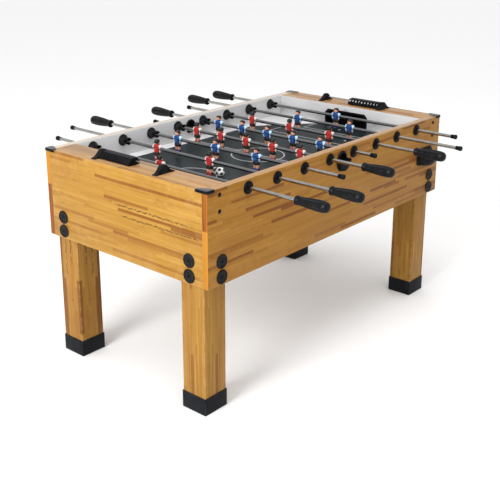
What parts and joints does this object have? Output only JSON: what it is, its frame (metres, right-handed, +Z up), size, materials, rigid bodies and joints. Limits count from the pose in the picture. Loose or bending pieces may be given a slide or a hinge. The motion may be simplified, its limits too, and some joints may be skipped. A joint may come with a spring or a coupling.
{
  "type": "foosball table",
  "caption": "Free-standing table football game: wood cabinet on square legs, sliding and turning rods with players over a sunk field, goals, ball returns and bead scorers.",
  "frame": {"origin": "on the floor, under the middle of the table", "axes": "+X along the length towards the right-hand end, +Y along the rods towards the rear side, +Z up"},
  "size_m": [1.4106, 1.46, 0.8103],
  "materials": {
    "laminated_wood": "satin butcher-block laminate",
    "leg_wood": "satin laminate, grain upright",
    "white_laminate": "white laminate on board",
    "printed_field": "dark print with pale lines under a clear coat",
    "chromed_steel": "polished",
    "grip_plastic": "fluted, satin",
    "bearing_plastic": "satin",
    "black_plastic": "satin",
    "score_plastic": "satin",
    "foot_plastic": "fine texture",
    "ball_plastic": "semi-gloss",
    "player_plastic": "painted plastic in two team colours",
    "screw_steel": "black oxide"
  },
  "bodies": {
    "cabinet": {"front_side_panel": "laminated_wood", "rear_side_panel": "laminated_wood", "left_end_panel": "laminated_wood", "right_end_panel": "laminated_wood", "left_end_rail": "laminated_wood", "right_end_rail": "laminated_wood", "left_goal_wall": "white_laminate", "right_goal_wall": "white_laminate", "playfield": "printed_field", "leg_front_left": "leg_wood", "leg_front_right": "leg_wood", "leg_rear_left": "leg_wood", "leg_rear_right": "leg_wood", "foot_cap_front_left": "foot_plastic", "foot_cap_front_right": "foot_plastic", "foot_cap_rear_left": "foot_plastic", "foot_cap_rear_right": "foot_plastic", "left_goal_box": "black_plastic", "right_goal_box": "black_plastic", "front_ball_entry": "black_plastic", "rear_ball_entry": "black_plastic", "front_ball_return": "black_plastic", "rear_ball_return": "black_plastic", "left_scorer_frame": "black_plastic", "right_scorer_frame": "black_plastic", "ball": "ball_plastic"},
    "bearings_1": {"bearing_1_front": "bearing_plastic", "bearing_1_rear": "bearing_plastic"},
    "rod_1": {"rod_1_goalie": "chromed_steel", "handle_1": "grip_plastic"},
    "bearings_2": {"bearing_2_front": "bearing_plastic", "bearing_2_rear": "bearing_plastic"},
    "rod_2": {"rod_2_defence": "chromed_steel", "handle_2": "grip_plastic"},
    "bearings_3": {"bearing_3_front": "bearing_plastic", "bearing_3_rear": "bearing_plastic"},
    "rod_3": {"rod_3_attack": "chromed_steel", "handle_3": "grip_plastic"},
    "bearings_4": {"bearing_4_front": "bearing_plastic", "bearing_4_rear": "bearing_plastic"},
    "rod_4": {"rod_4_midfield": "chromed_steel", "handle_4": "grip_plastic"},
    "bearings_5": {"bearing_5_front": "bearing_plastic", "bearing_5_rear": "bearing_plastic"},
    "rod_5": {"rod_5_midfield": "chromed_steel", "handle_5": "grip_plastic"},
    "bearings_6": {"bearing_6_front": "bearing_plastic", "bearing_6_rear": "bearing_plastic"},
    "rod_6": {"rod_6_attack": "chromed_steel", "handle_6": "grip_plastic"},
    "bearings_7": {"bearing_7_front": "bearing_plastic", "bearing_7_rear": "bearing_plastic"},
    "rod_7": {"rod_7_defence": "chromed_steel", "handle_7": "grip_plastic"},
    "bearings_8": {"bearing_8_front": "bearing_plastic", "bearing_8_rear": "bearing_plastic"},
    "rod_8": {"rod_8_goalie": "chromed_steel", "handle_8": "grip_plastic"},
    "left_score_beads": {"left_score_beads": "score_plastic"},
    "right_score_beads": {"right_score_beads": "score_plastic"}
  },
  "joints": [
    {"name": "rod_1_turn", "type": "hinge", "parent": "cabinet", "child": "bearings_1", "pos_m": [-0.51205, 0, 0.752], "axis": [0, 1, 0], "continuous": true},
    {"name": "rod_1_slide", "type": "slide", "parent": "bearings_1", "child": "rod_1", "axis": [0, 1, 0], "range_m": [-0.145, 0.135]},
    {"name": "rod_2_turn", "type": "hinge", "parent": "cabinet", "child": "bearings_2", "pos_m": [-0.36575, 0, 0.752], "axis": [0, 1, 0], "continuous": true},
    {"name": "rod_2_slide", "type": "slide", "parent": "bearings_2", "child": "rod_2", "axis": [0, 1, 0], "range_m": [-0.214, 0.13]},
    {"name": "rod_3_turn", "type": "hinge", "parent": "cabinet", "child": "bearings_3", "pos_m": [-0.21945, 0, 0.752], "axis": [0, 1, 0], "continuous": true},
    {"name": "rod_3_slide", "type": "slide", "parent": "bearings_3", "child": "rod_3", "axis": [0, 1, 0], "range_m": [-0.125, 0.089]},
    {"name": "rod_4_turn", "type": "hinge", "parent": "cabinet", "child": "bearings_4", "pos_m": [-0.07315, 0, 0.752], "axis": [0, 1, 0], "continuous": true},
    {"name": "rod_4_slide", "type": "slide", "parent": "bearings_4", "child": "rod_4", "axis": [0, 1, 0], "range_m": [-0.041, 0.051]},
    {"name": "rod_5_turn", "type": "hinge", "parent": "cabinet", "child": "bearings_5", "pos_m": [0.07315, 0, 0.752], "axis": [0, 1, 0], "continuous": true},
    {"name": "rod_5_slide", "type": "slide", "parent": "bearings_5", "child": "rod_5", "axis": [0, 1, 0], "range_m": [-0.06, 0.032]},
    {"name": "rod_6_turn", "type": "hinge", "parent": "cabinet", "child": "bearings_6", "pos_m": [0.21945, 0, 0.752], "axis": [0, 1, 0], "continuous": true},
    {"name": "rod_6_slide", "type": "slide", "parent": "bearings_6", "child": "rod_6", "axis": [0, 1, 0], "range_m": [-0.125, 0.089]},
    {"name": "rod_7_turn", "type": "hinge", "parent": "cabinet", "child": "bearings_7", "pos_m": [0.36575, 0, 0.752], "axis": [0, 1, 0], "continuous": true},
    {"name": "rod_7_slide", "type": "slide", "parent": "bearings_7", "child": "rod_7", "axis": [0, 1, 0], "range_m": [-0.13, 0.214]},
    {"name": "rod_8_turn", "type": "hinge", "parent": "cabinet", "child": "bearings_8", "pos_m": [0.51205, 0, 0.752], "axis": [0, 1, 0], "continuous": true},
    {"name": "rod_8_slide", "type": "slide", "parent": "bearings_8", "child": "rod_8", "axis": [0, 1, 0], "range_m": [-0.137, 0.143]},
    {"name": "left_score_slide", "type": "slide", "parent": "cabinet", "child": "left_score_beads", "axis": [0, 1, 0], "range_m": [-0.126, 0]},
    {"name": "right_score_slide", "type": "slide", "parent": "cabinet", "child": "right_score_beads", "axis": [0, 1, 0], "range_m": [0, 0.126]}
  ]
}
